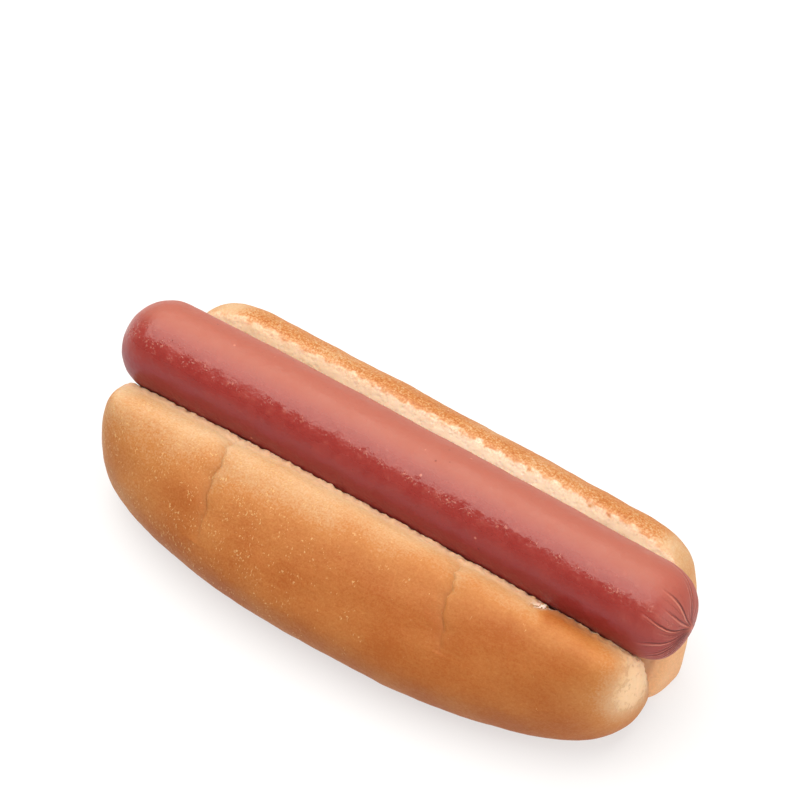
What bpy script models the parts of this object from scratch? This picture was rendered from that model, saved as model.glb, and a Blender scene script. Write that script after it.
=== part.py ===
"""Hot dog: a frankfurter lying in a bun that is cut along its top and hinged along its foot.

+X runs along the bun towards the puckered end of the frankfurter, -Y is the thick front half of
the bun, and the bun's flat underside lies on Z = 0. Shapes are worked out around the frankfurter's
axis, and the whole is then moved so that its box is centred on the origin. Lengths are in metres.
"""

import math

import bmesh
import bpy
import numpy as np

MM = 0.001

# Frankfurter: a slightly bowed round stick, domed at -X and gathered to a small knot at +X
FRANK_ENDS = (-78.4 * MM, 76.8 * MM)
FRANK_RADIUS = 11.3 * MM
FRANK_AXIS_HEIGHT = 32.0 * MM
DOME_LENGTH = 11.0 * MM
PUCKER_LENGTH = 11.8 * MM
DOME_POWER = 2.1
PUCKER_POWER = 2.7
BOW_BACK = 0.4 * MM
BOW_UP = 0.5 * MM
TIP_DROP = 0.9 * MM
TIP_LENGTH = 13.0 * MM
TIP_HEADING = (-0.82, -0.57)
PLEATS = 12
PLEAT_DEPTH = 0.45 * MM
PLEAT_REACH = 11.0 * MM
KNOT_RADIUS = 2.0 * MM
KNOT_HEIGHT = 0.9 * MM
FRANK_SIDES = 48
FRANK_RINGS = 30

# Bun: the gap it keeps to the frankfurter, how its halves taper and close at their ends, and how
# much of the spacing of their sections is even rather than crowded towards the ends
CONTACT_GAP = 0.3 * MM
TAPER_POWER = 2.6
ROUND_POWER = 2.8
EVEN_SHARE = 0.25
HALF_SIDES = 44
HALF_RINGS = 40

# Each half's ends, the heart of its section, and its outline anticlockwise as seen from +X.
# An outline row holds the point's place across and up at mid-length, how far it has moved across
# and up by the ends, and how blunt the end is there. The -X end may be blunter than the +X end.
OUTLINE_UNITS = (MM, MM, MM, MM, 1)
FRONT_HALF = {
    "ends": (-73.6 * MM, 71.6 * MM),
    "low_end_blunter": 1.5,
    "heart": (-12.4 * MM, 15.9 * MM),
    "outline": np.array([
        (2.0, 6.0, -5.0, -2.0, 30),
        (-3.5, 18.0, -1.2, 0.0, 30),
        (-11.3, 30.2, 0.7, -3.0, 50),
        (-19.2, 32.9, 0.0, -2.0, 28),
        (-30.4, 26.9, 6.0, -3.0, 14),
        (-39.3, 15.4, 15.0, -0.5, 12),
        (-34.0, 3.7, 13.3, 1.3, 14),
        (-16.0, -0.5, 5.0, 0.5, 24),
    ]) * OUTLINE_UNITS,
}
BACK_HALF = {
    "ends": (-72.3 * MM, 69.8 * MM),
    "low_end_blunter": 1.0,
    "heart": (8.6 * MM, 10.2 * MM),
    "outline": np.array([
        (7.0, -0.5, 1.5, -4.0, 48),
        (20.0, 4.0, -6.3, 0.2, 32),
        (24.2, 17.9, -5.4, 0.0, 10),
        (23.6, 30.3, -0.5, 0.0, 12),
        (16.9, 36.4, 0.0, -1.0, 11),
        (11.0, 32.0, 0.0, -1.0, 14),
        (2.5, 18.0, 1.5, 0.0, 30),
        (-6.0, 6.0, 3.4, -4.5, 46),
    ]) * OUTLINE_UNITS,
}

# Creases in the front half's crust: where each leaves the rim, how far it has strayed along the
# bun at its foot, the turns of the outline between which it runs, its half-width and its depth
CREASES = (
    (-39.5 * MM, 5.0 * MM, 0.24, 0.58, 3.2 * MM, 1.0 * MM),
    (24.5 * MM, 7.0 * MM, 0.27, 0.54, 3.2 * MM, 0.9 * MM),
)


def closed_curve(rows, turn):
    """Closed Catmull-Rom curve through the rows, read at a share of one turn round them."""
    place = turn * len(rows)
    first = np.floor(place).astype(int)
    step = (place - first)[:, None]
    before, here, after, beyond = (rows[(first + shift) % len(rows)] for shift in (-1, 0, 1, 2))
    slope = after - before
    bend = 2 * before - 5 * here + 4 * after - beyond
    twist = 3 * here - before - 3 * after + beyond
    return here + (slope * step + bend * step**2 + twist * step**3) / 2


def between(ends, along):
    """Place along X for a share of the half-length, from -1 at the low end to 1 at the high end."""
    low, high = ends
    return (low + high) / 2 + along * (high - low) / 2


def frank_axis(x):
    """Places across and up of the frankfurter's axis: a parabola that droops at its +X tip."""
    bow = 1 - (x / FRANK_ENDS[1]) ** 2
    drop = TIP_DROP * np.clip(1 - (FRANK_ENDS[1] - x) / TIP_LENGTH, 0, 1) ** 2
    across = BOW_BACK * bow + TIP_HEADING[0] * drop
    return across, FRANK_AXIS_HEIGHT + BOW_UP * bow + TIP_HEADING[1] * drop


def cap(from_end, length, power):
    """Share of the full radius at a distance from an end: a superellipse that is full past length."""
    share = np.clip(from_end / length, 0, 1)
    return (1 - (1 - share) ** power) ** (1 / power)


def frank_radius(x):
    low, high = FRANK_ENDS
    dome = cap(x - low, DOME_LENGTH, DOME_POWER)
    return FRANK_RADIUS * dome * cap(high - x, PUCKER_LENGTH, PUCKER_POWER)


def frank_points(along, turn):
    """The stick's surface, with pleats that run into the +X end and the small knot they meet at."""
    x = between(FRANK_ENDS, along)
    angle = turn * math.tau
    radius = frank_radius(x)
    reach = np.exp(-(((FRANK_ENDS[1] - x) / PLEAT_REACH) ** 2))
    pleat = reach * (1 + np.cos(PLEATS * angle)) / 2
    radius = radius * (1 - PLEAT_DEPTH / FRANK_RADIUS * pleat)
    across, up = frank_axis(x)
    x = x + np.where(x > 0, KNOT_HEIGHT * np.exp(-((radius / KNOT_RADIUS) ** 2)), 0)
    return np.stack([x, across + radius * np.cos(angle), up + radius * np.sin(angle)], axis=1)


def crease_depth(x, turn):
    """How far the crust is drawn in: a bell across each crease that fades at the crease's ends."""
    depth = np.zeros_like(x)
    for rim_x, stray, first_turn, last_turn, width, deepest in CREASES:
        run = np.clip((turn - first_turn) / (last_turn - first_turn), 0, 1)
        line = rim_x + stray * run**2
        fade = np.sqrt(np.sin(math.pi * run))
        depth += deepest * fade * np.exp(-(((x - line) / width) ** 2))
    return depth


def press_out(x, across, up):
    """Moves what would lie inside the frankfurter straight out to its surface and the gap round it."""
    axis_across, axis_up = frank_axis(x)
    distance = np.hypot(across - axis_across, up - axis_up)
    push = np.maximum((frank_radius(x) + CONTACT_GAP) / np.maximum(distance, MM), 1)
    return axis_across + (across - axis_across) * push, axis_up + (up - axis_up) * push


def half_points(half, along, turn):
    """One half of the bun: its outline, tapered and closed towards both ends, flat underneath."""
    x = between(half["ends"], along)
    row = closed_curve(half["outline"], turn)
    end = np.abs(along)
    taper = end**TAPER_POWER
    blunt = row[:, 4] * np.where(along < 0, half["low_end_blunter"], 1)
    closing = np.clip(1 - end**blunt, 0, 1) ** (1 / ROUND_POWER)
    heart_across, heart_up = half["heart"]
    across = (row[:, 0] + taper * row[:, 2] - heart_across) * closing
    up = (row[:, 1] + taper * row[:, 3] - heart_up) * closing
    if half is FRONT_HALF:
        drawn_in = 1 - crease_depth(x, turn) / np.maximum(np.hypot(across, up), FRANK_RADIUS)
        across, up = across * drawn_in, up * drawn_in
    across, up = press_out(x, heart_across + across, heart_up + up)
    return np.stack([x, across, np.maximum(up, 0)], axis=1)


def shaped_sphere(name, sides, rings, even_share, points):
    """A UV sphere laid along X, each vertex placed by points(share of half-length, share of a turn)."""
    mesh = bpy.data.meshes.new(name)
    form = bmesh.new()
    bmesh.ops.create_uvsphere(form, u_segments=sides, v_segments=rings, radius=1)
    form.to_mesh(mesh)
    form.free()
    sphere = np.empty(len(mesh.vertices) * 3)
    mesh.vertices.foreach_get("co", sphere)
    first, second, pole = sphere.reshape(-1, 3).T
    turn = np.arctan2(second, first) / math.tau % 1
    even = 1 - 2 * np.arccos(np.clip(pole, -1, 1)) / math.pi
    along = (1 - even_share) * pole + even_share * even
    mesh.vertices.foreach_set("co", points(along, turn).ravel())
    mesh.shade_smooth()
    return bpy.data.objects.new(name, mesh)


def bun_half(name, half):
    return shaped_sphere(
        name, HALF_SIDES, HALF_RINGS, EVEN_SHARE, lambda along, turn: half_points(half, along, turn))


def paint(piece, name, colour, roughness):
    """Gives the piece a material of its own."""
    made = bpy.data.materials.new(name)
    made.use_nodes = True
    shader = made.node_tree.nodes["Principled BSDF"]
    shader.inputs["Base Color"].default_value = (*colour, 1)
    shader.inputs["Roughness"].default_value = roughness
    shader.inputs["Metallic"].default_value = 0
    piece.data.materials.append(made)


def collect(name, pieces):
    made = bpy.data.collections.new(name)
    bpy.context.scene.collection.children.link(made)
    for piece in pieces:
        made.objects.link(piece)


def join(piece, helper):
    """Union of the piece with a helper, which is then left out of renders."""
    helper.hide_render = True
    helper.display_type = "WIRE"
    union = piece.modifiers.new("join", "BOOLEAN")
    union.operation = "UNION"
    union.solver = "EXACT"
    union.object = helper


def centre_on_origin(pieces):
    """Moves the meshes along and across so that their common box is centred on the origin."""
    corners = np.array([corner for piece in pieces for corner in piece.bound_box])
    middle = (corners.min(axis=0) + corners.max(axis=0)) / 2
    for piece in pieces:
        points = np.empty(len(piece.data.vertices) * 3)
        piece.data.vertices.foreach_get("co", points)
        points = points.reshape(-1, 3) - (middle[0], middle[1], 0)
        piece.data.vertices.foreach_set("co", points.ravel())
        piece.data.update()


def main():
    for piece in list(bpy.data.objects):
        bpy.data.objects.remove(piece)
    bun = bun_half("bun", FRONT_HALF)
    back_half = bun_half("back_half", BACK_HALF)
    frankfurter = shaped_sphere("frankfurter", FRANK_SIDES, FRANK_RINGS, 0, frank_points)
    paint(bun, "crust", (0.60, 0.27, 0.09), 0.6)
    paint(frankfurter, "frank_skin", (0.47, 0.11, 0.085), 0.35)
    collect("hot_dog", (bun, frankfurter))
    collect("helpers", (back_half,))
    bpy.context.view_layer.update()
    centre_on_origin((bun, back_half, frankfurter))
    join(bun, back_half)


main()
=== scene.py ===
"""Looks of the hot dog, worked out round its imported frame.

The bun's crust and crumb and the frankfurter's skin are closed surfaces on fine grids. They keep
to the forms and sizes of the solids, and add what is too fine for them: torn rims, folds,
blisters, wrinkles and pores. Lengths are in metres: +X runs along the bun to the puckered end, -Y
is the thick front half, and the bun lies on Z = 0. A pair named RAMP, BAND or EDGE holds the value
where it is 0 and the value where it is 1, and a pair named BELL its middle and its width.
"""

import math

import bpy
import numpy as np
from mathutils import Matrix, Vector


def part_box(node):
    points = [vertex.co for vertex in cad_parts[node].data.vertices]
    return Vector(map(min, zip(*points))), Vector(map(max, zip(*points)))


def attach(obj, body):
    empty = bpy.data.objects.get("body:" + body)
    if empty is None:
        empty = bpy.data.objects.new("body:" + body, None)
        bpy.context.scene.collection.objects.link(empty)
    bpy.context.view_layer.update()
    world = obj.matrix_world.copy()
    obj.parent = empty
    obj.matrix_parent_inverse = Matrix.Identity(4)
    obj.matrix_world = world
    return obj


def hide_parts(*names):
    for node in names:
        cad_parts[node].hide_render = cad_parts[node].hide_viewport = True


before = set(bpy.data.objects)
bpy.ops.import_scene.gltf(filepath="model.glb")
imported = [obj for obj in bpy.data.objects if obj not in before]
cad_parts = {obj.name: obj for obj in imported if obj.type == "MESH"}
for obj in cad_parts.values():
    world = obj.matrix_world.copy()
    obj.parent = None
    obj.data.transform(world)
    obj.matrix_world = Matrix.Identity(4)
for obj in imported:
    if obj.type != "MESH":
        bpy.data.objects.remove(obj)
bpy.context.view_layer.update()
MM = 0.001
TINY = 1e-12

# Frankfurter: its form as in the solids, placed by its box
FRANK_LOW, FRANK_HIGH = (np.array(corner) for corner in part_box("frankfurter"))
FRANK_RADIUS = 11.3 * MM
DOME_LENGTH = 11.0 * MM
PUCKER_LENGTH = 11.8 * MM
DOME_POWER = 2.1
PUCKER_POWER = 2.7
BOW_BACK = 0.4 * MM
BOW_UP = 0.5 * MM
TIP_DROP = 0.9 * MM
TIP_LENGTH = 13.0 * MM
TIP_HEADING = (-0.82, -0.57)
KNOT_RADIUS = 2.0 * MM
KNOT_HEIGHT = 0.9 * MM
FRANK_ENDS = (FRANK_LOW[0], FRANK_HIGH[0] - KNOT_HEIGHT)
AXIS_ACROSS = FRANK_HIGH[1] - FRANK_RADIUS - BOW_BACK
AXIS_UP = FRANK_HIGH[2] - FRANK_RADIUS - BOW_UP

# Frankfurter's grid: rings and points in a ring, and how much closer the rings lie by the knot
FRANK_GRID = (330, 300)
RINGS_CLOSER = 0.9
RINGS_CLOSER_RAMP = (55 * MM, 67 * MM)

# Its skin keeps a little inside the solid's, and its knot is lifted against the tip's droop
SKIN_INSET = 0.13 * MM
LEAST_RADIUS_SHARE = 0.3
KNOT_LIFT = 1.2 * MM
LIFTED_RADIUS = 4 * MM

# Where the frankfurter's skin gathers to its knot: the angle round the knot at which each wrinkle
# starts, its reach along the surface in millimetres and its strength
WRINKLES = np.array([
    (10, 12, 0.7), (30, 10, 0.5), (49, 19, 0.9), (58, 14, 0.6), (72, 7, 0.3), (90, 15, 1.0),
    (110, 12, 0.8), (138, 16, 1.0), (150, 11, 0.6), (158, 9, 0.5), (170, 16, 0.9), (180, 10, 0.6),
    (188, 13, 0.9), (196, 15, 1.0), (204, 11, 0.8), (213, 14, 1.0), (222, 11, 0.8), (231, 13, 1.0),
    (242, 10, 0.7), (256, 13, 0.9), (272, 11, 0.6), (290, 14, 0.8), (310, 12, 0.6), (330, 13, 0.8),
    (350, 10, 0.6),
])
WRINKLE_DEPTH = 0.20 * MM
WRINKLE_WIDTH = 0.28 * MM
WRINKLE_ROOT = 1.6 * MM

# A wrinkle wanders by this many degrees at this distance from the knot, in waves of this length
# that are turned this many times as one goes round
WANDER_DEGREES = 2.5
WANDER_FULL_AT = 9 * MM
WANDER_LENGTH = 3.1 * MM
WANDER_TURNS = 4

# Small blisters of the skin: they lie in a swaying band along the front of its top, given by its
# middle and its spread, and every fifth one lies anywhere
BLISTERS = 240
BLISTER_ANGLES = (math.radians(124), math.radians(9))
BLISTER_SWAY = 0.05
SWAY_LENGTH = 9 * MM
STREWN_EVERY = 5
BLISTER_SIZE = (0.22 * MM, 0.60 * MM)
BLISTER_HEIGHT = (0.01 * MM, 0.05 * MM)
BLISTER_SEED = 34

# Bands along the skin, as ramps in degrees from straight back through straight up, and what the
# upper band and the band of painted light on its top come to at the ends, where the skin turns away
# from its sides. The upper and lower bands are rougher, the under band holds painted shade on the
# underside, and the speckled band holds painted glints where the lamp's reflection on the top ends
UPPER_BAND = (118, 94)
PAINTED_LIT_TOP_BAND = (122, 88)
REAR_BAND = (-60, -30)
LOWER_BAND = (134, 150)
UNDER_BAND = (148, 168)
UPPER_AT_ENDS = 0.4
PAINTED_LIT_TOP_AT_ENDS = 0.3
SPECKLED_DEGREES = 127
SPECKLED_SWAY = 2
SPECKLED_SPREAD = 4.5
DOME_SPREAD = 8
DOME_RAMP = (-45 * MM, -70 * MM)
GATHERED_RAMP = (16 * MM, 0)
KNOT_BLUSH = 1.4 * MM

# Bun: its halves' forms as in the solids. A row of an outline holds a point's place across from
# the frankfurter's axis and up, how far it has moved across and up by the ends, and how blunt the
# end is there. Columns are how many lines of the grid lie between a row and the next. Turns are
# places in the outline: where the rim is, and between which two the half is crumb.
BUN_LOW, BUN_HIGH = (np.array(corner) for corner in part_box("bun"))
BUN_MIDDLE = (BUN_LOW[0] + BUN_HIGH[0]) / 2
CONTACT_GAP = 0.03 * MM
TAPER_POWER = 2.6
ROUND_POWER = 2.8
HALF_RINGS = 380
OUTLINE_UNITS = (MM, MM, MM, MM, 1)
FRONT = {
    "ends": (BUN_LOW[0], BUN_HIGH[0]),
    "heart": (-12.4 * MM, 15.9 * MM),
    "outline": np.array([
        (2.0, 6.0, -5.0, -2.0, 30),
        (-3.5, 18.0, -1.2, 0.0, 30),
        (-11.3, 30.2, 0.7, -3.0, 50),
        (-19.2, 32.9, 0.0, -2.0, 28),
        (-30.4, 26.9, 6.0, -3.0, 14),
        (-39.3, 15.4, 15.0, -0.5, 12),
        (-34.0, 3.7, 13.3, 1.3, 14),
        (-16.0, -0.5, 5.0, 0.5, 24),
    ]) * OUTLINE_UNITS,
    "columns": (14, 34, 40, 50, 50, 36, 18, 14),
    "rim_turn": 0.25,
    "crumb_turns": (0.0, 0.25),
    "low_end_blunter": 1.5,
    "rim_relief": 1,
}
BACK = {
    "ends": (BUN_LOW[0] + 1.3 * MM, BUN_HIGH[0] - 1.8 * MM),
    "heart": (8.6 * MM, 10.2 * MM),
    "outline": np.array([
        (7.0, -0.5, 1.5, -4.0, 48),
        (20.0, 4.0, -6.3, 0.2, 32),
        (24.2, 17.9, -5.4, 0.0, 10),
        (23.6, 30.3, -0.5, 0.0, 12),
        (16.9, 36.4, 0.0, -1.0, 11),
        (11.0, 32.0, 0.0, -1.0, 14),
        (2.5, 18.0, 1.5, 0.0, 30),
        (-6.0, 6.0, 3.4, -4.5, 46),
    ]) * OUTLINE_UNITS,
    "columns": (20, 36, 34, 40, 42, 40, 26, 18),
    "rim_turn": 0.625,
    "crumb_turns": (0.5375, 0.89),
    "low_end_blunter": 1.0,
    "rim_relief": 0.4,
}

# A round form like a half's, over which its rings are spaced, and how finely places are tried
SPACING_RADIUS = 14 * MM
SPACING_BLUNT = 24
SPACING_STEPS = 20001

# Creases in the front half's crust: where each leaves the rim, how far it has strayed along the
# bun at its foot, the turns of the outline between which it runs, its half-width and its depth
CREASES = (
    (-38.5 * MM, 5.0 * MM, 0.24, 0.58, 3.2 * MM, 1.0 * MM),
    (25.5 * MM, 7.0 * MM, 0.27, 0.54, 3.2 * MM, 0.9 * MM),
)
CREASE_WANDER = ((0.35 * MM, 17), (0.2 * MM, 41))
CREASE_BROAD = 0.45
CREASE_SHARP = 0.85
CREASE_SLOPE = 1.5 * MM
CREASE_STEP = 0.3 * MM
# How far the painted light past a crease's step up reaches
CREASE_LIT_REACH = 2.6 * MM

# Rings lie closer together about creases: how much, how far past one's start, and how far round
CREASE_RINGS_CLOSER = 1.2
CREASE_RINGS_PAST = 2 * MM
CREASE_RINGS_WIDTH = 4 * MM

# The rim between crumb and crust. At a half's ends the crumb stops where the surface faces this
# much along X, at a rate of this length for each unit more.
RIM_WIDTH = 1.1 * MM
CRUMB_RAMP = (0.45 * MM, -0.45 * MM)
END_CRUST_FACING = 0.62
END_CRUST_LENGTH = 8 * MM
CRUST_INSET = 0.15 * MM
END_RELIEF_RAMP = (0, 3 * MM)
LEAST_END_RELIEF = 0.3

# The front half's rim leans on the frankfurter: how far, over which distances below the rim and
# into the crumb, and how unevenly
LEAN = 0.30 * MM
LEAN_CRUST_RAMP = (5 * MM, -1 * MM)
LEAN_CRUMB_RAMP = (-14 * MM, -10 * MM)
LEAN_UNEVEN = 0.40

# The nick in the front half's rim, and the pale torn patch at the front half's +X end
NICK_X = 46.6 * MM
NICK_SLANT = 0.5
NICK_WIDTH = 1.5 * MM
NICK_RAMP = (4.8 * MM, 0.8 * MM)
NICK_DEPTH = 0.8 * MM
PATCH_CENTRE = (BUN_HIGH[0] - 2.0 * MM, AXIS_ACROSS - 11.5 * MM, 20.5 * MM)
PATCH_RELIEF = 0.12 * MM
PATCH_RELIEF_RAMP = (9.8 * MM, 2.8 * MM)
PATCH_PALE_RAMP = (19 * MM, 7 * MM)
PATCH_TORN_RAMP = (12.5 * MM, 4.5 * MM)

# The wall in the hinge where the halves meet: it leans from its foot to its top, and its foot
# sways towards the front by the bun's ends
HINGE_FOOT = 3.3 * MM
HINGE_TOP = 14.0 * MM
HINGE_FOOT_ACROSS = 1.5 * MM
HINGE_TOP_ACROSS = -0.8 * MM
HINGE_SWAY = 3.2 * MM
HINGE_SWAY_LENGTH = 60 * MM
HINGE_SEAM = 0.02 * MM

# Soft waves: how many, and over which range their lengths spread. Rows hold a height, a length and
# a seed, the first two in millimetres.
WAVE_COUNT = 24
WAVE_SPREAD = (0.7, 1.5)
SKIN_WAVES = ((0.05, 19, 11), (0.025, 5, 12), (0.012, 2.2, 13))
RAGGED_WAVES = ((0.35, 3.0, 51), (0.18, 1.2, 52))
CRUST_WAVES = ((0.08, 24, 61), (0.04, 7, 62), (0.012, 2.2, 63))
CRUMB_WAVES = ((0.03, 3.0, 64), (0.015, 1.3, 65))
RIM_WAVES = ((0.09, 1.7, 66), (0.06, 0.9, 67))
END_BROWN_WAVES = ((1.6, 9, 72),)

# Other soft waves, as a length and a seed
LEAN_WAVE = (2.0 * MM, 68)
PATCH_WAVE = (1.5 * MM, 69)
BAKE_WAVE = (14 * MM, 71)
BAKE_UNEVEN = 0.05

# How the front half is baked, from 0 for cream to 1 for dark: at the rim, how much more towards +X
# and below the rim, how far down that rises at -X and at +X, and how much is lost by the foot
RIGHT_RAMP = (-30 * MM, 40 * MM)
RIM_BAKE = 0.15
RIGHT_BAKE = 0.06
SIDE_BAKE = 0.69
SIDE_RISE = (26 * MM, 15 * MM)
FOOT_RAMP = (55 * MM, 88 * MM)
FOOT_LOSS = 0.4
END_BROWN_RAMP = (42 * MM, 49 * MM)
END_BROWN_SHARE = 0.9
PATCH_BAKE = 0.34
PATCH_SHARE = 0.9
LEFT_RAMP = (-46 * MM, -62 * MM)
LEFT_LOSS = 0.22
LOW_END_RAMP = (0.35, 0.80)
LOW_END_BAKE = 0.52
# Painted light along the rim, where the crust curves down into shade against the frankfurter:
# where it starts and is full below the rim, and how much is lost where the crust is brown to it
PAINTED_RIM_LIGHT_RAMP = (4 * MM, 0.8 * MM)
PAINTED_RIM_LIGHT_END_LOSS = 0.75

# How the back half is baked: its cut, its top and its outside, the toasted ridge, its two end
# faces, and the tan that they have below, partly their own colour and partly painted light where
# the frankfurter's tip shades them
TOAST_LOW_RAMP = (-61 * MM, -56 * MM)
TOAST_HIGH_RAMP = (62 * MM, 56 * MM)
TOAST_MIDDLE = 2 * MM
TOAST_WIDTH = 3.5 * MM
OUTER_RAMP = (17 * MM, 23 * MM)
OUTSIDE_RAMP = (4 * MM, 14 * MM)
UNDERSIDE_RAMP = (7 * MM, 1 * MM)
CUT_BAKE = 0.14
TOP_BAKE = 0.42
OUTSIDE_BAKE = 0.5
END_PALE_RAMP = (0.35, 0.90)
END_PALE_UP_RAMP = (16 * MM, 24 * MM)
END_PALE_LOSS = 0.5
END_BAKE = 0.30
END_BAKE_RAMP = (0.25, 0.65)
# Painted light along the back half's rim
BACK_PAINTED_RIM_LIGHT = 0.3
FRESH_BELL = (15 * MM, 38 * MM)
TAN_RAMP = (0.2, 0.7)
TAN_DOWN_RAMP = (30 * MM, 18 * MM)
DEEP_RAMP = (27 * MM, 19 * MM)

# Noises of the finishes, as size, detail and roughness, and scattered cells, as size. An edge is
# what turns a noise into marks.
CRUST_MOTTLE = (9 * MM, 3.0)
CRUST_GRAIN = (0.9 * MM, 4.0, 0.6)
CRUST_GRIT = (0.45 * MM, 2.0)
CRUST_STREAKS = (0.55 * MM, 3.0, 0.6)
CRUST_FLECKS = (0.42 * MM, 2.0, 0.4)
FLECK_EDGE = (0.60, 0.67)
FLECK_SWARMS = (3 * MM, 2.0)
FLECK_SWARM_EDGE = (0.66, 0.76)
LEFT_FLECKS = 0.20
CRUMB_CLOUDS = (2.0 * MM, 4.0)
CRUMB_PORES = 1.1 * MM
PORE_EDGE = (0.1, 0.5)
TORN_BLOTCHES = (2.2 * MM, 2.0)
TORN_EDGE = (0.50, 0.75)
NICK_FIBRES = (0.45 * MM, 2.0)
FIBRE_EDGE = (0.44, 0.56)
BLUSH_EDGE = (0.45, 0.62)
TAN_STREAK_EDGE = (0.35, 0.65)
SKIN_MOTTLE = (12 * MM, 3.0)
SKIN_CLOUDS = (3 * MM, 3.0)
SKIN_PATCHES = (4.5 * MM, 4.0, 0.6)
PATCH_EDGE = (0.42, 0.62)
SKIN_PEBBLES = (1.4 * MM, 2.0)
SKIN_GRAIN = (0.7 * MM, 3.0)
SKIN_SPECKS = (0.60 * MM, 3.0)
SPECK_EDGE = (0.54, 0.62)
SPECK_SWARMS = (2.8 * MM, 3.0)
SPECK_SWARM_EDGE = (0.46, 0.58)
SKIN_PITS = 2.6 * MM
PIT_EDGE = (0.13, 0.05)
PIT_SWARMS = (6 * MM,)
PIT_SWARM_EDGE = (0.5, 0.65)
SKIN_DOTS = 8 * MM
DOT_EDGE = (0.05, 0.03)
STREAK_STRETCH = (0.30, 1, 1)
FLECK_STRETCH = (1, 0.6, 0.6)
FIBRE_STRETCH = (1, 0.3, 0.3)

# What is the same all over a finish, and how high its bumps stand
CRUST_SHADING = {
    "Specular_IOR_Level": 0.25,
    "Subsurface_Weight": 0.25,
    "Subsurface_Scale": 1.5 * MM,
    "Subsurface_Radius": (1.0, 0.45, 0.2),
}
CRUST_BUMP = 0.16 * MM
SKIN_SHADING = {
    "Specular_IOR_Level": 0.48,
    "Subsurface_Weight": 0.2,
    "Subsurface_Scale": 1.2 * MM,
    "Subsurface_Radius": (1.0, 0.3, 0.2),
}
SKIN_BUMP = 0.12 * MM

# The dark line of a wrinkle, painted shade in its groove, and the pale lip beside it, a painted
# highlight, in millimetres aside
FOLD_EDGE = (0.27, 0.05)
LIP_ASIDE = 0.48
LIP_EDGE = (0.30, 0.05)
FOLD_RAGGED = 0.25
ASIDE_LIMIT = 2

# Colours, in linear light
CRUST_TONES = (
    (0.0, (0.54, 0.375, 0.23)),
    (0.3, (0.49, 0.275, 0.130)),
    (0.6, (0.43, 0.165, 0.043)),
    (1.0, (0.33, 0.088, 0.013)),
)
# Painted shade in the creases and between the nick's fibres
CREASE_SHADE = (0.33, 0.14, 0.045, 1)
FLECK_CREAM = (0.62, 0.38, 0.16, 1)
CRUMB_CREAM = (0.64, 0.485, 0.33, 1)
CRUMB_SHADE = (0.56, 0.395, 0.255, 1)
CRUMB_TAN = (0.68, 0.385, 0.22, 1)
CRUMB_FRESH = (0.80, 0.70, 0.58, 1)
TORN_CREAM = (0.76, 0.52, 0.32, 1)
# Partly the end faces' own tan and partly painted light where the frankfurter's tip shades them
END_TAN_AND_LIGHT = (0.69, 0.365, 0.18, 1)
FIBRE_PALE = (0.95, 0.78, 0.66, 1)
# Painted light along the rims, where the crust curves down into shade
RIM_PAINTED_LIGHT = (0.90, 0.60, 0.40, 1)
RIM_BLUSH = (0.50, 0.19, 0.13, 1)
SKIN_DEEP = (0.238, 0.020, 0.016, 1)
SKIN_LIGHT = (0.282, 0.034, 0.026, 1)
# Painted light: the skin's top made paler and more orange where the lamp above falls on it
SKIN_PAINTED_LIT_TOP = (0.340, 0.090, 0.058, 1)
# Painted shade: the skin's underside made darker where little light reaches it
SKIN_UNDER_SHADE = (0.225, 0.006, 0.016, 1)
SKIN_GATHERED = (0.30, 0.050, 0.036, 1)
# Painted shade in the wrinkles' grooves and in the pits
SKIN_GROOVE_SHADE = (0.10, 0.010, 0.008, 1)
# Painted highlights on the wrinkles' lips, the blisters and the specks, and the own pale colour  of
# the dots and the knot
SKIN_GLINT_AND_PALE = (0.56, 0.20, 0.14, 1)
WHITE = (1, 1, 1, 1)

# Floor, camera and light
FLOOR_HALF = 3.0
FLOOR_SHADING = {
    "Base_Color": (0.30, 0.30, 0.31, 1),
    "Roughness": 0.9,
    "Specular_IOR_Level": 0.2,
    "Emission_Color": WHITE,
    "Emission_Strength": 0.62,
}
WORLD_STRENGTH = 0.30
LIGHT_COLOUR = (1.0, 0.955, 0.87)
TOP_LIGHT = {"place": (-0.40, 0.165, 0.90), "size": (1.5, 1.57), "power": 25}
SIDE_LIGHT = {"place": (1.15, -0.15, 0.45), "size": (1.1, 1.1), "power": 11}
CAMERA_AZIMUTH = math.radians(35)
CAMERA_ELEVATION = math.radians(50)
CAMERA_DISTANCE = 1.9
CAMERA_REACH = 20
CAMERA_LENS_MM = 373.6
AIM_ALONG = 0.8 * MM
AIM_LEFT = 1.95 * MM
AIM_UP = 17.7 * MM


def smooth(share):
    """0 below 0 and 1 above 1, with an S between."""
    share = np.clip(share, 0, 1)
    return share * share * (3 - 2 * share)


def ramp(value, start, end):
    """0 up to start and 1 past end, with an S between; it falls where start is the larger."""
    return smooth((value - start) / (end - start))


def bell(value, middle, width):
    """1 at the middle and falling away on both sides, to a third at the width."""
    return np.exp(-(((value - middle) / width) ** 2))


def blend(share, first, second):
    """From the first at share 0 to the second at share 1, in a straight line."""
    return first + share * (second - first)


def waves(points, length, seed):
    """Soft noise of about unit strength: plane waves of nearly one length, in all directions."""
    draw = np.random.default_rng(seed)
    heading = draw.normal(size=(3, WAVE_COUNT))
    heading /= np.linalg.norm(heading, axis=0)
    pitch = math.tau / (length * draw.uniform(*WAVE_SPREAD, WAVE_COUNT))
    start = draw.uniform(0, math.tau, WAVE_COUNT)
    return np.sin(points @ (heading * pitch) + start).sum(axis=-1) * math.sqrt(2 / WAVE_COUNT)


def ripples(points, rows):
    """Sum of soft waves, one for each row of height, length and seed."""
    return sum(height * MM * waves(points, length * MM, seed) for height, length, seed in rows)


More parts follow.
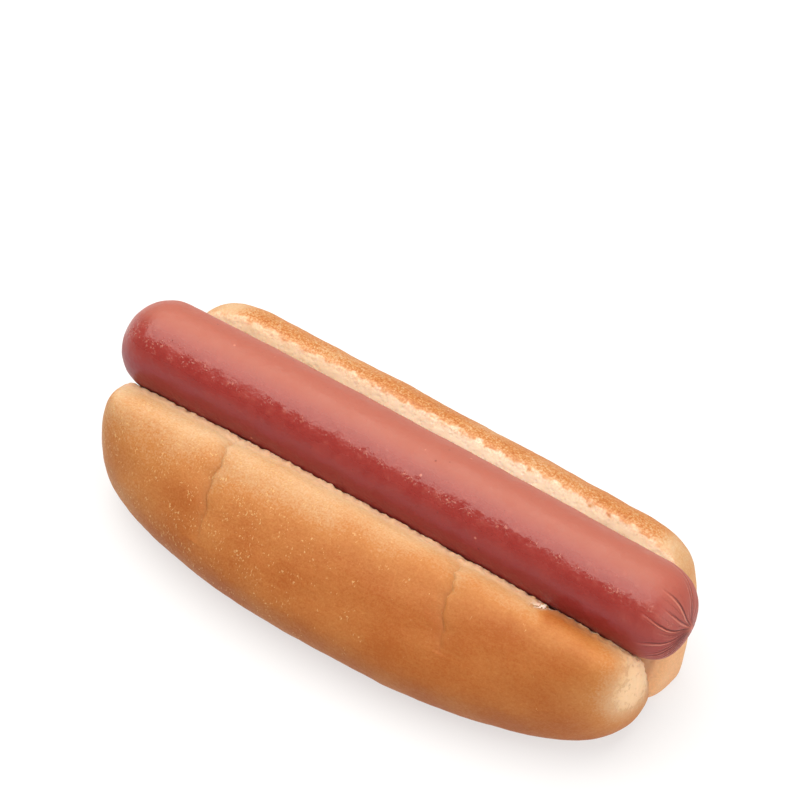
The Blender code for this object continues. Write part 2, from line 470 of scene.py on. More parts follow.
def closed_curve(rows, turn):
    """Closed Catmull-Rom curve through the rows, read at a share of one turn round them."""
    place = turn * len(rows)
    first = np.floor(place).astype(int)
    step = (place - first)[:, None]
    before, here, after, beyond = (rows[(first + shift) % len(rows)] for shift in (-1, 0, 1, 2))
    slope = after - before
    bend = 2 * before - 5 * here + 4 * after - beyond
    twist = 3 * here - before - 3 * after + beyond
    return here + (slope * step + bend * step**2 + twist * step**3) / 2


def cap(from_end, length, power):
    """Share of the full radius at a distance from an end: a superellipse, full past length."""
    share = np.clip(from_end / length, 0, 1)
    return (1 - (1 - share) ** power) ** (1 / power)


def frank_axis(x):
    """Places across and up of the frankfurter's axis: a parabola that droops at its +X tip."""
    bow = 1 - (x / FRANK_ENDS[1]) ** 2
    drop = TIP_DROP * np.clip(1 - (FRANK_ENDS[1] - x) / TIP_LENGTH, 0, 1) ** 2
    across = AXIS_ACROSS + BOW_BACK * bow + TIP_HEADING[0] * drop
    return across, AXIS_UP + BOW_UP * bow + TIP_HEADING[1] * drop


def frank_radius(x):
    """The frankfurter's radius at a place along X, closed by the dome and by the pucker."""
    low, high = FRANK_ENDS
    dome = cap(x - low, DOME_LENGTH, DOME_POWER)
    return FRANK_RADIUS * dome * cap(high - x, PUCKER_LENGTH, PUCKER_POWER)


def frank_points(x, angle, radius):
    """Points at a radius and an angle round the axis. By the +X end small rings move out along X
    and back up against the tip's droop, which makes the knot."""
    near_knot = x > 0
    out = KNOT_HEIGHT * bell(radius, 0, KNOT_RADIUS) * near_knot
    lift = KNOT_LIFT * bell(radius, 0, LIFTED_RADIUS) * near_knot
    across, up = frank_axis(x)
    across = across - TIP_HEADING[0] * lift + radius * np.cos(angle)
    up = up - TIP_HEADING[1] * lift + radius * np.sin(angle)
    return np.stack([x + out, across, up], axis=-1)


def press_out(points, gap):
    """Moves what would lie inside the frankfurter or its gap straight out to the gap's edge."""
    x, across, up = np.moveaxis(points, -1, 0)
    axis_across, axis_up = frank_axis(x)
    distance = np.hypot(across - axis_across, up - axis_up)
    push = np.maximum((frank_radius(x) + gap) / np.maximum(distance, MM), 1)
    across = axis_across + (across - axis_across) * push
    up = axis_up + (up - axis_up) * push
    return np.stack([x, across, up], axis=-1)


def stations(ends, radius, count, density):
    """Places along X spaced evenly over a round form's surface, closer together where dense."""
    low, high = ends
    turn = np.linspace(-math.pi / 2, math.pi / 2, SPACING_STEPS)
    fine = (low + high) / 2 + (high - low) / 2 * np.sin(turn)
    middle = (fine[1:] + fine[:-1]) / 2
    step = np.hypot(np.diff(fine), np.diff(radius(fine))) * density(middle)
    run = np.concatenate([[0], np.cumsum(step)])
    return np.interp((np.arange(count) + 0.5) / count * run[-1], run, fine)


def outwards(points):
    """Unit normals of a grid: its rows run along X, and its columns round it anticlockwise."""
    round_it = np.roll(points, -1, axis=1) - np.roll(points, 1, axis=1)
    normal = np.cross(round_it, np.gradient(points, axis=0))
    return normal / np.maximum(np.linalg.norm(normal, axis=-1, keepdims=True), TINY)


def closed_tube(name, points, poles, fields, material):
    """Mesh of a grid of points, rows along it and columns round it, closed at each end on a pole.
    Fields are grids of one value a point, which the material reads as attributes."""
    rows, columns, _ = points.shape
    index = np.arange(rows * columns).reshape(rows, columns)
    beside = np.roll(index, -1, axis=1)
    quads = np.stack([index[:-1], beside[:-1], beside[1:], index[1:]], axis=-1).reshape(-1, 4)
    first, last = rows * columns, rows * columns + 1
    low_fan = np.stack([np.full(columns, first), beside[0], index[0]], axis=-1)
    high_fan = np.stack([np.full(columns, last), index[-1], beside[-1]], axis=-1)
    fans = np.concatenate([low_fan, high_fan])
    mesh = bpy.data.meshes.new(name)
    mesh.vertices.add(rows * columns + 2)
    mesh.vertices.foreach_set("co", np.concatenate([points.reshape(-1, 3), poles]).ravel())
    corners = np.concatenate([quads.ravel(), fans.ravel()])
    starts = np.concatenate([np.arange(len(quads)) * 4, quads.size + np.arange(len(fans)) * 3])
    mesh.loops.add(len(corners))
    mesh.loops.foreach_set("vertex_index", corners)
    mesh.polygons.add(len(starts))
    mesh.polygons.foreach_set("loop_start", starts)
    mesh.update(calc_edges=True)
    mesh.shade_smooth()
    for field, values in fields.items():
        values = np.broadcast_to(values, (rows, columns))
        flat = np.concatenate([values.ravel(), [values[0].mean(), values[-1].mean()]])
        mesh.attributes.new(field, "FLOAT", "POINT").data.foreach_set("value", flat)
    mesh.materials.append(material)
    piece = bpy.data.objects.new(name, mesh)
    bpy.context.scene.collection.objects.link(piece)
    return piece


def run_to_knot(x, radius):
    """Distance over the surface from each ring to the +X end, ring by ring."""
    step = np.hypot(np.diff(x[:, 0], append=FRANK_ENDS[1]), np.diff(radius[:, 0], append=0))
    return np.cumsum(step[::-1])[::-1, None]


def wrinkles(run, angle, radius):
    """The skin gathered to the knot: how far each point lies from its nearest wrinkle, measured
    round the knot, and how strong that wrinkle is there. A wrinkle fades out at its reach along
    the surface."""
    wander = np.sin(run / WANDER_LENGTH + WANDER_TURNS * angle) * run / WANDER_FULL_AT
    degrees = np.degrees(angle) + WANDER_DEGREES * wander
    turned = (degrees[..., None] - WRINKLES[:, 0] + 180) % 360 - 180
    nearest = np.abs(turned).argmin(axis=-1)
    aside = np.radians(np.take_along_axis(turned, nearest[..., None], axis=-1)[..., 0]) * radius
    reach, strength = WRINKLES[nearest, 1] * MM, WRINKLES[nearest, 2]
    return aside, strength * ramp(run, reach, reach / 2) * ramp(run, 0, WRINKLE_ROOT)


def skin_blisters(x, angle):
    """Height of the small blisters: a sum of round bells on the surface, most of them in a band
    along the front of its top and the others strewn over all of it."""
    draw = np.random.default_rng(BLISTER_SEED)
    places = draw.uniform(*FRANK_ENDS, BLISTERS)
    angles = draw.normal(*BLISTER_ANGLES, BLISTERS) + BLISTER_SWAY * np.sin(places / SWAY_LENGTH)
    strewn = np.arange(BLISTERS) % STREWN_EVERY == 0
    angles[strewn] = draw.uniform(0, math.tau, strewn.sum())
    sizes = draw.uniform(*BLISTER_SIZE, BLISTERS)
    heights = draw.uniform(*BLISTER_HEIGHT, BLISTERS)
    total = np.zeros((len(x), len(angle)))
    for place, turned, size, height in zip(places, angles, sizes, heights):
        aside = (angle - turned) * FRANK_RADIUS
        total += height * np.exp(-((x - place) ** 2 + aside**2) / size**2)
    return total


def skin_fields(x, angle, radius, aside, fade, blisters):
    """What the skin's finish reads: the wrinkles and blisters, and the bands along the skin that
    are rougher, that hold painted light on its top or painted shade on its underside, or painted
    glints where the top's reflection ends. A band is a ramp by angle, and evens out on both ends."""
    degrees = (np.degrees(angle) + 180) % 360 - 180
    on_side = np.minimum(radius / FRANK_RADIUS, 1) ** 2
    from_rear = ramp(degrees, *REAR_BAND)
    speckled_line = SPECKLED_DEGREES + SPECKLED_SWAY * np.sin(x / SWAY_LENGTH)
    speckled_spread = SPECKLED_SPREAD + DOME_SPREAD * ramp(x, *DOME_RAMP)
    return {
        "aside": np.clip(aside / MM, -ASIDE_LIMIT, ASIDE_LIMIT),
        "fold": fade,
        "knot": bell(radius, 0, KNOT_BLUSH) * (x > 0),
        "gathered": ramp(FRANK_ENDS[1] - x, *GATHERED_RAMP),
        "blister": blisters / BLISTER_HEIGHT[1],
        "upper": blend(on_side, UPPER_AT_ENDS, ramp(degrees, *UPPER_BAND) * from_rear),
        "painted_lit_top": blend(on_side, PAINTED_LIT_TOP_AT_ENDS, ramp(degrees, *PAINTED_LIT_TOP_BAND) * from_rear),
        "lower": ramp(np.abs(degrees), *LOWER_BAND),
        "under": ramp(np.abs(degrees), *UNDER_BAND),
        "speckled": bell(degrees, speckled_line, speckled_spread),
    }


def frankfurter(material):
    """The stick: rings round a bowed axis, domed at -X and drawn in by wrinkles to a knot at +X,
    with soft undulations and small blisters over all of it."""
    rings, sides = FRANK_GRID
    x = stations(
        FRANK_ENDS, frank_radius, rings, lambda x: 1 + RINGS_CLOSER * ramp(x, *RINGS_CLOSER_RAMP))
    x = x[:, None]
    angle = np.arange(sides) / sides * math.tau
    radius = frank_radius(x)
    aside, fade = wrinkles(run_to_knot(x, radius), angle + 0 * x, radius)
    drawn_in = WRINKLE_DEPTH * fade * bell(aside, 0, WRINKLE_WIDTH)
    even = frank_points(x, angle, radius + 0 * angle)
    blisters = skin_blisters(x, angle)
    relief = (ripples(even, SKIN_WAVES) + blisters) * np.minimum(radius / LIFTED_RADIUS, 1)
    inset = np.maximum(radius - SKIN_INSET, LEAST_RADIUS_SHARE * radius)
    points = frank_points(x, angle, inset - drawn_in + relief)
    tips = (FRANK_ENDS[0], FRANK_HIGH[0])
    poles = [(tip, *ring.mean(axis=0)[1:]) for tip, ring in zip(tips, even[[0, -1]])]
    fields = skin_fields(x, angle, radius, aside, fade, blisters)
    return closed_tube("frank", points, poles, fields, material)


def half_stations(half, creases):
    """Places along X of a half's rings, closer together about its creases."""
    low, high = half["ends"]

    def radius(x):
        end = np.abs((2 * x - low - high) / (high - low))
        return SPACING_RADIUS * np.clip(1 - end**SPACING_BLUNT, 0, 1) ** (1 / ROUND_POWER)

    def density(x):
        middles = (BUN_MIDDLE + crease[0] + CREASE_RINGS_PAST for crease in creases)
        closer = (CREASE_RINGS_CLOSER * bell(x, middle, CREASE_RINGS_WIDTH) for middle in middles)
        return 1 + sum(closer)

    return stations(half["ends"], radius, HALF_RINGS, density)


def half_section(half, x):
    """Smooth grid of one half of the bun: its outline, tapered and closed towards both ends. With
    it come each column's share of a turn and its distance from the rim along the outline."""
    low, high = half["ends"]
    counts = half["columns"]
    starts = np.concatenate([[0], np.cumsum(counts)])
    turn = np.interp(np.arange(sum(counts)), starts, np.arange(len(starts))) / len(counts)
    row = closed_curve(half["outline"], turn)
    end = np.abs((2 * x - low - high) / (high - low))
    taper = end**TAPER_POWER
    blunt = row[:, 4] * np.where(x < 0, half["low_end_blunter"], 1)
    closing = np.clip(1 - end**blunt, 0, 1) ** (1 / ROUND_POWER)
    heart_across, heart_up = half["heart"]
    across = heart_across + (row[:, 0] + taper * row[:, 2] - heart_across) * closing
    up = heart_up + (row[:, 1] + taper * row[:, 3] - heart_up) * closing
    arc = np.concatenate([[0], np.cumsum(np.hypot(np.diff(row[:, 0]), np.diff(row[:, 1])))])
    arc -= np.interp(half["rim_turn"], turn, arc)
    grid = np.stack([np.broadcast_to(x, across.shape), AXIS_ACROSS + across, up], axis=-1)
    return grid, turn, arc


def folds(x, turn):
    """How far the crust is drawn in at its creases, and how much painted light lies past them: a
    broad dip with a sharp step up on its +X side, past which that painted light on the step's lit
    side fades."""
    dip, pale = 0, 0
    for rim_x, stray, first_turn, last_turn, width, deepest in CREASES:
        run = np.clip((turn - first_turn) / (last_turn - first_turn), 0, 1)
        wander = sum(swing * np.sin(run * pitch) for swing, pitch in CREASE_WANDER)
        aside = x - BUN_MIDDLE - rim_x - stray * run**2 - wander
        fade = np.sqrt(np.sin(math.pi * run))
        past = aside >= 0
        sharp = np.exp(-np.abs(aside) / np.where(past, CREASE_STEP, CREASE_SLOPE))
        dip = dip + deepest * fade * (CREASE_BROAD * bell(aside, 0, width) + CREASE_SHARP * sharp)
        # Painted light on the lit side of the crease's step up
        pale = pale + fade * past * np.exp(-np.abs(aside) / CREASE_LIT_REACH)
    return dip, pale


def rim_nick(x, below_rim):
    """1 in the slanting nick in the front half's rim, and 0 away from it."""
    across_it = bell(x + NICK_SLANT * below_rim, NICK_X, NICK_WIDTH)
    return across_it * ramp(np.abs(below_rim), *NICK_RAMP)


def front_relief(grid, below_rim, from_patch):
    """Relief of the front half alone: its rim leans unevenly on the frankfurter, and its end patch
    is rough where it tore from its neighbour."""
    lean = LEAN * ramp(below_rim, *LEAN_CRUST_RAMP) * ramp(below_rim, *LEAN_CRUMB_RAMP)
    rough = PATCH_RELIEF * ramp(from_patch, *PATCH_RELIEF_RAMP)
    return lean * (1 + LEAN_UNEVEN * waves(grid, *LEAN_WAVE)) + rough * waves(grid, *PATCH_WAVE)


def apart(points, front):
    """Keeps a half on its own side of the wall in the hinge where the halves meet."""
    x, across, up = np.moveaxis(points, -1, 0)
    height = (up - HINGE_FOOT) / (HINGE_TOP - HINGE_FOOT)
    foot = HINGE_FOOT_ACROSS - HINGE_SWAY * np.minimum((x / HINGE_SWAY_LENGTH) ** 2, 1)
    wall = AXIS_ACROSS + blend(height, foot, HINGE_TOP_ACROSS)
    if front:
        across = np.minimum(across, wall - HINGE_SEAM)
    else:
        across = np.maximum(across, wall + HINGE_SEAM)
    return np.stack([x, across, up], axis=-1)


def front_browning(grid, x, below_rim, facing_end, from_patch):
    """How the front half is baked: cream at its rim and golden brown below, sooner towards +X,
    where it is brown up to the rim; a little paler at its foot and its -X end; torn pale in its
    end patch. Painted light lies along the rim, where the crust curves down into shade against
    the frankfurter."""
    rightness = ramp(x, *RIGHT_RAMP)
    end_brown = ramp(x + ripples(grid, END_BROWN_WAVES), *END_BROWN_RAMP)
    rise = np.maximum(ramp(below_rim, 0, blend(rightness, *SIDE_RISE)), END_BROWN_SHARE * end_brown)
    kept = 1 - FOOT_LOSS * ramp(below_rim, *FOOT_RAMP)
    bake = RIM_BAKE + RIGHT_BAKE * rightness + SIDE_BAKE * rise * kept
    bake = blend(PATCH_SHARE * ramp(from_patch, *PATCH_PALE_RAMP), bake, PATCH_BAKE)
    bake = bake * (1 - LEFT_LOSS * ramp(x, *LEFT_RAMP))
    low_end = ramp(facing_end, *LOW_END_RAMP) * (x < 0)
    # Painted light along the rim, where the crust curves down into shade against the frankfurter
    painted_rim_light = ramp(np.abs(below_rim), *PAINTED_RIM_LIGHT_RAMP) * (1 - PAINTED_RIM_LIGHT_END_LOSS * end_brown) * (1 - low_end)
    return {
        "bake": blend(low_end, bake, LOW_END_BAKE),
        "toast": 0.0,
        "torn": ramp(from_patch, *PATCH_TORN_RAMP),
        "painted_rim_light": painted_rim_light,
        "fresh": 0.0,
        "tan_and_light": 0.0,
    }


def back_browning(grid, x, below_rim, facing_end, rim):
    """How the back half is baked: pale where it is cut, toasted along its ridge, brown outside and
    underneath, and tan on its end faces, which are paler at the top. The tan is partly their own
    colour and partly painted light where the frankfurter's tip shades them, and painted light lies
    along the rim."""
    across, up = grid[..., 1] - AXIS_ACROSS, grid[..., 2]
    along_top = ramp(x, *TOAST_LOW_RAMP) * ramp(x, *TOAST_HIGH_RAMP)
    outer = ramp(across, *OUTER_RAMP)
    outside = blend(facing_end, ramp(below_rim, *OUTSIDE_RAMP), outer)
    outside = np.maximum(outside, ramp(up, *UNDERSIDE_RAMP))
    bake = CUT_BAKE + TOP_BAKE * (1 - outside) * along_top + OUTSIDE_BAKE * outside
    end_pale = END_PALE_LOSS * ramp(facing_end, *END_PALE_RAMP) * ramp(up, *END_PALE_UP_RAMP)
    bake = bake * (1 - end_pale)
    return {
        "bake": np.maximum(bake, END_BAKE * ramp(facing_end, *END_BAKE_RAMP)),
        "toast": bell(below_rim, TOAST_MIDDLE, TOAST_WIDTH) * along_top,
        "torn": 0.0,
        # Painted light along the rim
        "painted_rim_light": BACK_PAINTED_RIM_LIGHT * rim,
        "fresh": bell(x, *FRESH_BELL),
        # The end faces' tan, partly their own colour and partly painted light in the tip's shade
        "tan_and_light": ramp(facing_end, *TAN_RAMP) * (1 - outer) * ramp(up, *TAN_DOWN_RAMP),
    }


def bun_half(name, half, material):
    """One half of the bun. Its smooth section is drawn in by creases and given relief along its
    own normals: soft dents and blisters on the crust, pores on the crumb and a ragged rim between
    them."""
    front = half is FRONT
    x = half_stations(half, CREASES if front else ())[:, None]
    grid, turn, arc = half_section(half, x)
    normal = outwards(grid)
    facing_end = np.abs(normal[..., 0])
    first, last = (np.interp(edge, turn, arc) for edge in half["crumb_turns"])
    below_rim = arc - last if front else first - arc
    into_crust = np.maximum(first - arc, arc - last)
    into_crust = np.maximum(into_crust, (facing_end - END_CRUST_FACING) * END_CRUST_LENGTH)
    rim = bell(into_crust, 0, RIM_WIDTH)
    crumb = ramp(into_crust + ripples(grid, RAGGED_WAVES), *CRUMB_RAMP)

    relief = ripples(grid, CRUST_WAVES) + crumb * ripples(grid, CRUMB_WAVES)
    relief += half["rim_relief"] * rim * ripples(grid, RIM_WAVES)
    dip, lit_past_crease, nick = 0.0, 0.0, 0.0
    if front:
        from_patch = np.linalg.norm(grid - PATCH_CENTRE, axis=-1)
        relief += front_relief(grid, below_rim, from_patch)
        nick = rim_nick(x, below_rim)
        dip, lit_past_crease = folds(x, turn)
        dip = dip + NICK_DEPTH * nick
    low, high = half["ends"]
    depth = relief - CRUST_INSET * (1 - rim) - dip
    from_end = np.minimum(x - low, high - x)
    depth = depth * np.maximum(ramp(from_end, *END_RELIEF_RAMP), LEAST_END_RELIEF)
    points = press_out(apart(grid + normal * depth[..., None], front), CONTACT_GAP)
    points[..., 2] = np.maximum(points[..., 2], 0)

    if front:
        fields = front_browning(grid, x, below_rim, facing_end, from_patch)
    else:
        fields = back_browning(grid, x, below_rim, facing_end, rim)
    fields["bake"] = np.clip(fields["bake"] + BAKE_UNEVEN * waves(grid, *BAKE_WAVE), 0, 1)
    fields["toast"] = fields["toast"] * (1 - crumb)
    fields |= {
        "crumb": crumb,
        "rim": rim,
        "deep": ramp(grid[..., 2], *DEEP_RAMP),
        "crease": dip / MM,
        "lit_past_crease": lit_past_crease,
        "nick": nick,
        "leftness": 1 - ramp(x, *RIGHT_RAMP),
    }
    poles = [(end, AXIS_ACROSS + half["heart"][0], half["heart"][1]) for end in half["ends"]]
    return closed_tube(name, points, poles, fields, material)


class Socket:
    """An output of a shader node, on which Python arithmetic adds Math nodes."""

    def __init__(self, recipe, output):
        self.recipe = recipe
        self.output = output

    def __add__(self, other):
        return self.recipe.maths("ADD", self, other)

    __radd__ = __add__

    def __sub__(self, other):
        return self.recipe.maths("SUBTRACT", self, other)

    def __rsub__(self, other):
        return self.recipe.maths("SUBTRACT", other, self)

    def __mul__(self, other):
        return self.recipe.maths("MULTIPLY", self, other)

    __rmul__ = __mul__

    def __abs__(self):
        return self.recipe.maths("ABSOLUTE", self)

    def held(self):
        """The value kept between 0 and 1."""
        return self.recipe.maths("ADD", self, 0, clamp=True)

    def swing(self, amount):
        """A noise of 0 to 1 made to swing about 0, this much from lowest to highest."""
        return (self - 0.5) * amount

    def between(self, low, high):
        """0 below low and 1 above high, with an S between; it falls where low is the larger."""
        return self.recipe.node(
            "MapRange", {0: self, 1: low, 2: high, 3: 0, 4: 1}, interpolation_type="SMOOTHSTEP")


class Recipe:
    """A material's node tree. Named finishes are set on the shader's own sockets."""

    def __init__(self, name, **finish):
        self.material = bpy.data.materials.new(name)
        self.material.use_nodes = True
        self.tree = self.material.node_tree
        self.shader = self.tree.nodes["Principled BSDF"]
        for socket, value in finish.items():
            self.shader.inputs[socket.replace("_", " ")].default_value = value

    def node(self, kind, sockets, output=0, stops=(), **settings):
        """Adds a node: its settings first, then what its sockets hold or are linked to."""
        made = self.tree.nodes.new("ShaderNode" + kind)
        for name, value in settings.items():
            setattr(made, name, value)
        elements = made.color_ramp.elements if stops else ()
        for _ in range(len(stops) - len(elements)):
            elements.new(1)
        for element, (place, colour) in zip(elements, stops):
            element.position = place
            element.color = (*colour, 1)
        for name, value in sockets.items():
            self.feed(made.inputs[name], value)
        return Socket(self, made.outputs[output])

    def feed(self, target, value):
        """Links a socket to the target, or sets the target's own value."""
        if isinstance(value, Socket):
            self.tree.links.new(value.output, target)
        else:
            target.default_value = value

    def maths(self, operation, *operands, clamp=False):
        """A sum on numbers, each of which is a socket or a plain number."""
        return self.node("Math", dict(enumerate(operands)), operation=operation, use_clamp=clamp)

    def fields(self, *names):
        """The piece's attributes of these names."""
        return [self.node("Attribute", {}, output="Fac", attribute_name=name) for name in names]

    def place(self):
        """Where a point lies on the object."""
        return self.node("TexCoord", {}, output="Object")

    def noise(self, place, size, detail=2.0, roughness=0.5):
        """Cloudy noise of 0 to 1, about this large."""
        sockets = {"Vector": place, "Scale": 1 / size, "Detail": detail, "Roughness": roughness}
        return self.node("TexNoise", sockets)

    def cells(self, place, size):
        """Distance from the nearest of scattered points, in shares of their spacing."""
        return self.node("TexVoronoi", {"Vector": place, "Scale": 1 / size}, output="Distance")

    def stretch(self, place, scale):
        """The place with its axes scaled, which draws a pattern out where the scale is under 1."""
        return self.node("VectorMath", {0: place, 1: scale}, operation="MULTIPLY")

    def coated(self, colour, *coats):
        """The colour with coats laid over it in turn, each a share, from 0 to 1, and a tint."""
        for share, tint in coats:
            colour = self.node("Mix", {0: share, 6: colour, 7: tint}, output=2, data_type="RGBA")
        return colour

    def finish(self, colour, roughness, relief, depth):
        """Feeds the shader: colour, roughness, and a bump as high as depth where relief is 1."""
        bump = self.node("Bump", {"Height": relief, "Distance": depth})
        self.feed(self.shader.inputs["Base Color"], colour)
        self.feed(self.shader.inputs["Roughness"], roughness)
        self.feed(self.shader.inputs["Normal"], bump)
        return self.material


def bun_finish():
    """Crust from cream to golden brown as it is baked, soft pale crumb where it is cut or torn,
    granular toasting along the back half's ridge, light flecks, tan end faces, and a pink blush
    where the rim is wet. Painted light lies along the rims, past the creases' steps and in the end
    faces' tan, and painted shade in the creases and between the nick's fibres."""
    recipe = Recipe("crust", **CRUST_SHADING)
    place = recipe.place()
    bake, crumb, toast, rim, torn = recipe.fields("bake", "crumb", "toast", "rim", "torn")
    crease, lit_past_crease, nick, tan_and_light = recipe.fields("crease", "lit_past_crease", "nick", "tan_and_light")
    deep, painted_rim_light, fresh, leftness = recipe.fields("deep", "painted_rim_light", "fresh", "leftness")
    along = recipe.stretch(place, STREAK_STRETCH)
    mottle = recipe.noise(place, *CRUST_MOTTLE)
    grain = recipe.noise(place, *CRUST_GRAIN)
    grit = recipe.noise(place, *CRUST_GRIT)
    streaks = recipe.noise(along, *CRUST_STREAKS)
    flecks = recipe.noise(recipe.stretch(place, FLECK_STRETCH), *CRUST_FLECKS).between(*FLECK_EDGE)
    swarms = recipe.noise(place, *FLECK_SWARMS) + LEFT_FLECKS * leftness
    flecks = flecks * swarms.between(*FLECK_SWARM_EDGE)
    fibres = recipe.noise(recipe.stretch(place, FIBRE_STRETCH), *NICK_FIBRES).between(*FIBRE_EDGE)
    ragged = torn + grain.swing(2.2) + recipe.noise(place, *TORN_BLOTCHES).swing(1.6)
    ragged = (ragged.between(*TORN_EDGE) * torn).held()
    wet = rim * (1 - toast) * grit.between(*BLUSH_EDGE)

    # Past a crease the tone is lowered: painted light on the lit side of its step
    tone = bake + mottle.swing(0.22) + grain.swing(0.22 + 0.9 * toast) + streaks.swing(0.26)
    tone = tone + grit.swing(0.26 + 0.2 * leftness + 0.8 * toast) - 0.22 * lit_past_crease
    crust = recipe.coated(
        recipe.node("ValToRGB", {"Fac": tone}, stops=CRUST_TONES),
        # Painted shade in the creases' dips
        (0.32 * crease, CREASE_SHADE),
        (0.6 * flecks, FLECK_CREAM))
    soft = recipe.coated(
        CRUMB_SHADE,
        (recipe.noise(along, *CRUMB_CLOUDS), CRUMB_CREAM),
        (0.5 * fresh, CRUMB_FRESH),
        (0.8 * deep, CRUMB_TAN))
    colour = recipe.coated(
        crust,
        (crumb, soft),
        (0.42 * torn + 0.40 * ragged, TORN_CREAM),
        # Painted light along the rims, where they curve into shade
        (0.5 * painted_rim_light, RIM_PAINTED_LIGHT),
        (0.35 * wet, RIM_BLUSH),
        # The end faces' tan, partly their own colour and partly painted light in the tip's shade
        (tan_and_light * (0.55 + 0.4 * streaks.between(*TAN_STREAK_EDGE)), END_TAN_AND_LIGHT),
        # Painted shade between the nick's torn fibres
        (0.7 * nick * (1 - fibres), CREASE_SHADE),
        (1.3 * nick * fibres, FIBRE_PALE))

    open_crumb = recipe.maths("MAXIMUM", crumb, 0.6 * ragged)
    pores = recipe.cells(place, CRUMB_PORES).between(*PORE_EDGE)
    relief = 0.35 * grain + (0.12 + 0.5 * toast) * grit + 0.25 * streaks + 0.3 * flecks
    relief = relief + 0.4 * open_crumb * pores + 0.5 * ragged + 1.5 * nick * fibres
    roughness = (0.46 + 0.25 * grain + 0.3 * open_crumb).held()
    return recipe.finish(colour, roughness, relief, CRUST_BUMP)


def skin_finish():
    """Cooked sausage skin: pinkish red with faint mottling and rougher along its top, with painted
    light that makes its top paler and painted shade that darkens its underside, painted glints in
    specks where the top's reflection ends, painted shade in its folds and tiny pits, painted
    highlights on the folds' lips and on blisters, and a few pale dots."""
    recipe = Recipe("frank_skin", **SKIN_SHADING)
    place = recipe.place()
    aside, fold, gathered, knot = recipe.fields("aside", "fold", "gathered", "knot")
    blister, upper, painted_lit_top = recipe.fields("blister", "upper", "painted_lit_top")
    lower, under, speckled = recipe.fields("lower", "under", "speckled")
    mottle = recipe.noise(place, *SKIN_MOTTLE)
    cloud = recipe.noise(place, *SKIN_CLOUDS)
    patches = recipe.noise(place, *SKIN_PATCHES).between(*PATCH_EDGE)
    pebbles = recipe.noise(place, *SKIN_PEBBLES)
    grain = recipe.noise(place, *SKIN_GRAIN)
    # Specks are painted glints where the top's reflection ends, as if small bumps caught the lamp
    specks = speckled * recipe.noise(place, *SKIN_SPECKS).between(*SPECK_EDGE)
    specks = specks * recipe.noise(place, *SPECK_SWARMS).between(*SPECK_SWARM_EDGE)
    pits = recipe.cells(place, SKIN_PITS).between(*PIT_EDGE)
    pits = pits * recipe.noise(place, *PIT_SWARMS).between(*PIT_SWARM_EDGE)
    dots = recipe.cells(place, SKIN_DOTS).between(*DOT_EDGE)
    aside = aside + grain.swing(FOLD_RAGGED)
    # A wrinkle's dark line is painted shade in its groove, and its pale lip a painted highlight
    cut = fold * abs(aside).between(*FOLD_EDGE)
    lip = fold * abs(aside - LIP_ASIDE).between(*LIP_EDGE)

    tone = (0.5 + mottle.swing(0.9) + cloud.swing(0.6) + patches.swing(0.35)).held()
    colour = recipe.coated(
        SKIN_DEEP,
        (tone, SKIN_LIGHT),
        # Painted light: the top of the skin made paler and more orange where the lamp above falls
        # on it
        (painted_lit_top, SKIN_PAINTED_LIT_TOP),
        # Painted shade: the skin's underside made darker where little light reaches it
        (0.5 * under, SKIN_UNDER_SHADE),
        (0.5 * gathered, SKIN_GATHERED),
        # Painted highlight on the wrinkles' lips
        (0.7 * lip, SKIN_GLINT_AND_PALE),
        # Painted shade in the wrinkles' grooves
        (0.95 * cut, SKIN_GROOVE_SHADE),
        # Painted highlights on the blisters
        (0.12 * blister, SKIN_GLINT_AND_PALE),
        # Painted glints in the specks
        (0.55 * specks, SKIN_GLINT_AND_PALE),
        # Painted shade in the pits
        (0.5 * pits, SKIN_GROOVE_SHADE),
        (0.6 * dots + 0.6 * knot, SKIN_GLINT_AND_PALE))

    relief = 0.25 * grain + 0.6 * pebbles + 0.9 * cloud + 0.8 * specks
    relief = relief - 0.5 * pits - 1.2 * cut + lip
    roughness = 0.04 + 0.14 * cloud + 0.12 * mottle + 0.06 * patches
    roughness = roughness + 0.32 * upper + 0.18 * lower + 0.20 * gathered
    return recipe.finish(colour, roughness, relief, SKIN_BUMP)


def floor():
    """A plain pale sheet under everything."""
    recipe = Recipe("pale_floor", **FLOOR_SHADING)
    mesh = bpy.data.meshes.new("floor")
    square = ((-1, -1), (1, -1), (1, 1), (-1, 1))
    corners = [(FLOOR_HALF * across, FLOOR_HALF * along, 0) for across, along in square]
    mesh.from_pydata(corners, [], [(0, 1, 2, 3)])
    mesh.materials.append(recipe.material)
    made = bpy.data.objects.new("floor", mesh)
    bpy.context.scene.collection.objects.link(made)


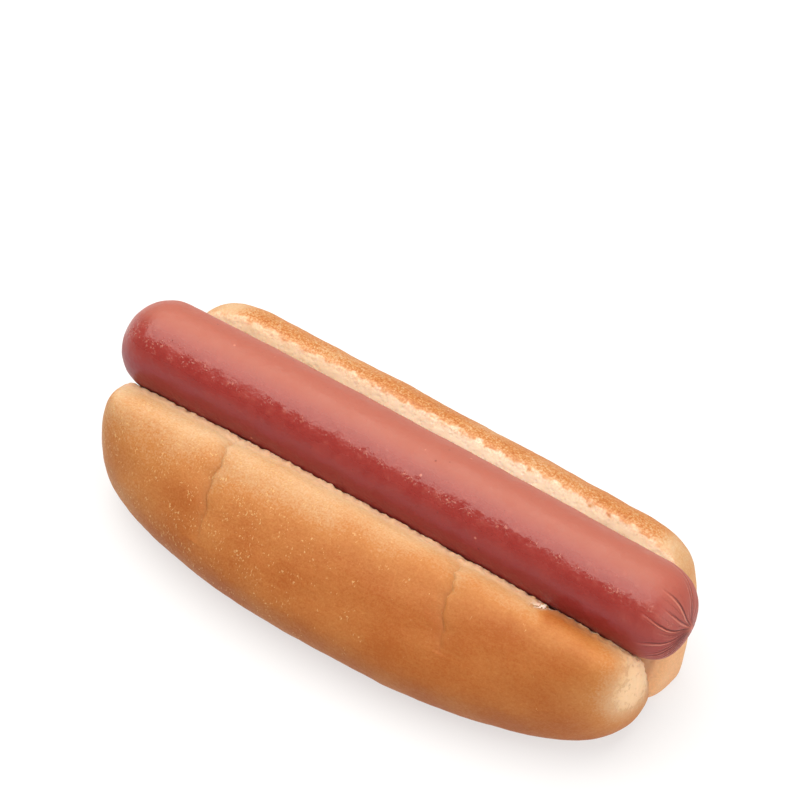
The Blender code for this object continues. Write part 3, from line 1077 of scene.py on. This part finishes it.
def soft_box(name, place, size, power, target=None):
    """A rectangular lamp that faces its target, or straight down."""
    light = bpy.data.lights.new(name, "AREA")
    light.shape = "RECTANGLE"
    light.size, light.size_y = size
    light.color = LIGHT_COLOUR
    light.energy = power
    made = bpy.data.objects.new(name, light)
    made.location = place
    if target is not None:
        made.rotation_euler = (target - Vector(place)).to_track_quat("-Z", "Y").to_euler()
    bpy.context.scene.collection.objects.link(made)


def camera():
    """A far camera, aimed a little left of and above the frankfurter's middle."""
    azimuth, elevation = CAMERA_AZIMUTH, CAMERA_ELEVATION
    right = Vector((math.cos(azimuth), math.sin(azimuth), 0))
    level = Vector((math.sin(azimuth), -math.cos(azimuth), 0))
    back = math.cos(elevation) * level + math.sin(elevation) * Vector((0, 0, 1))
    up = back.cross(right)
    middle = Vector((sum(FRANK_ENDS) / 2 + AIM_ALONG, AXIS_ACROSS, AXIS_UP))
    made = bpy.data.objects.new("camera", bpy.data.cameras.new("camera"))
    made.data.lens = CAMERA_LENS_MM
    made.data.clip_end = CAMERA_REACH
    made.location = middle - AIM_LEFT * right + AIM_UP * up + CAMERA_DISTANCE * back
    made.rotation_euler = back.to_track_quat("Z", "Y").to_euler()
    bpy.context.scene.collection.objects.link(made)
    bpy.context.scene.camera = made


def surroundings():
    """Even white light from all round, a large soft box above and a small one at the +X end."""
    world = bpy.data.worlds.new("world")
    world.use_nodes = True
    background = world.node_tree.nodes["Background"]
    background.inputs["Color"].default_value = WHITE
    background.inputs["Strength"].default_value = WORLD_STRENGTH
    bpy.context.scene.world = world
    bpy.context.scene.view_settings.view_transform = "Standard"
    soft_box("top_light", **TOP_LIGHT)
    soft_box("side_light", **SIDE_LIGHT, target=Vector((0, AXIS_ACROSS, AXIS_UP)))


def main():
    crust = bun_finish()
    skin = skin_finish()
    for name, half in (("front_half", FRONT), ("back_half", BACK)):
        piece = bun_half(name, half, crust)
        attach(piece, "root")
        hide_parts("bun")
    stick = frankfurter(skin)
    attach(stick, "root")
    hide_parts("frankfurter")
    floor()
    surroundings()
    camera()


main()
